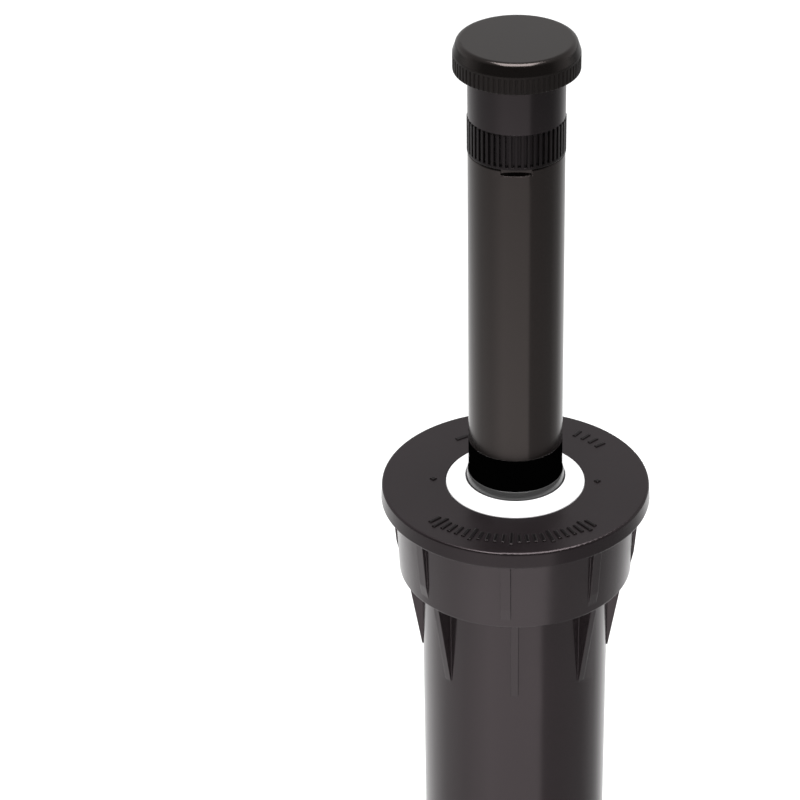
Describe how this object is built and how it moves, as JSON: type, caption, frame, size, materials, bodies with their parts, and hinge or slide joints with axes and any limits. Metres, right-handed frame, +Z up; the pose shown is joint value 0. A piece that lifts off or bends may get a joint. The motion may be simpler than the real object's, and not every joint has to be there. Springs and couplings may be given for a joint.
{
  "type": "pop up sprinkler",
  "caption": "Pop-up spray sprinkler: ribbed buried case, screw-on flanged cap, raised sliding riser with wiper seal, and a knurled shut-off plug screwed on top.",
  "frame": {"origin": "middle of the inlet's end face, at the bottom", "axes": "+Z up along the riser and case axis; -Y is the side that shows the riser's rim slot"},
  "size_m": [0.0576, 0.0576, 0.2555],
  "materials": {
    "case_plastic": "satin moulded",
    "cap_plastic": "satin moulded",
    "riser_plastic": "smooth satin",
    "base_plastic": "matt",
    "plug_plastic": "semi-gloss",
    "pale_plastic": "satin",
    "grey_rubber": "matt",
    "black_rubber": "matt",
    "spring_wire": "drawn wire",
    "filter_plastic": "satin"
  },
  "bodies": {
    "housing": {"case": "case_plastic", "case_seal": "black_rubber"},
    "carrier": {"spring_seat": "base_plastic", "retraction_spring": "spring_wire"},
    "cap": {"body_cap": "cap_plastic", "seal_ring": "pale_plastic", "wiper_seal": "grey_rubber"},
    "guide": {"ratchet_ring": "pale_plastic"},
    "riser": {"riser_tube": "riser_plastic", "riser_base": "base_plastic", "riser_oring": "black_rubber", "snap_ring": "base_plastic", "filter_frame": "filter_plastic", "filter_mesh": "filter_plastic"},
    "washer": {"plug_gasket": "black_rubber"},
    "plug": {"plug_base": "plug_plastic", "plug_head": "plug_plastic"}
  },
  "joints": [
    {"name": "cap_lift", "type": "slide", "parent": "housing", "child": "carrier", "axis": [0, 0, 1], "range_m": [0, 0.008]},
    {"name": "cap_turn", "type": "hinge", "parent": "carrier", "child": "cap", "pos_m": [0, 0, 0.1452], "axis": [0, 0, 1], "range_deg": [0, 720]},
    {"name": "riser_slide", "type": "slide", "parent": "carrier", "child": "guide", "axis": [0, 0, 1], "range_m": [-0.093, 0], "deforming": ["retraction_spring"]},
    {"name": "riser_turn", "type": "hinge", "parent": "guide", "child": "riser", "pos_m": [0, 0, 0.1179], "axis": [0, 0, 1], "continuous": true},
    {"name": "plug_lift", "type": "slide", "parent": "riser", "child": "washer", "axis": [0, 0, 1], "range_m": [0, 0.00544]},
    {"name": "plug_turn", "type": "hinge", "parent": "washer", "child": "plug", "pos_m": [0, 0, 0.2404], "axis": [0, 0, 1], "range_deg": [0, 2160]}
  ],
  "couplings": [
    {"joint": "cap_lift", "follows": "cap_turn", "m_per_rad": 0.00063662},
    {"joint": "plug_lift", "follows": "plug_turn", "m_per_rad": 0.00014435}
  ]
}
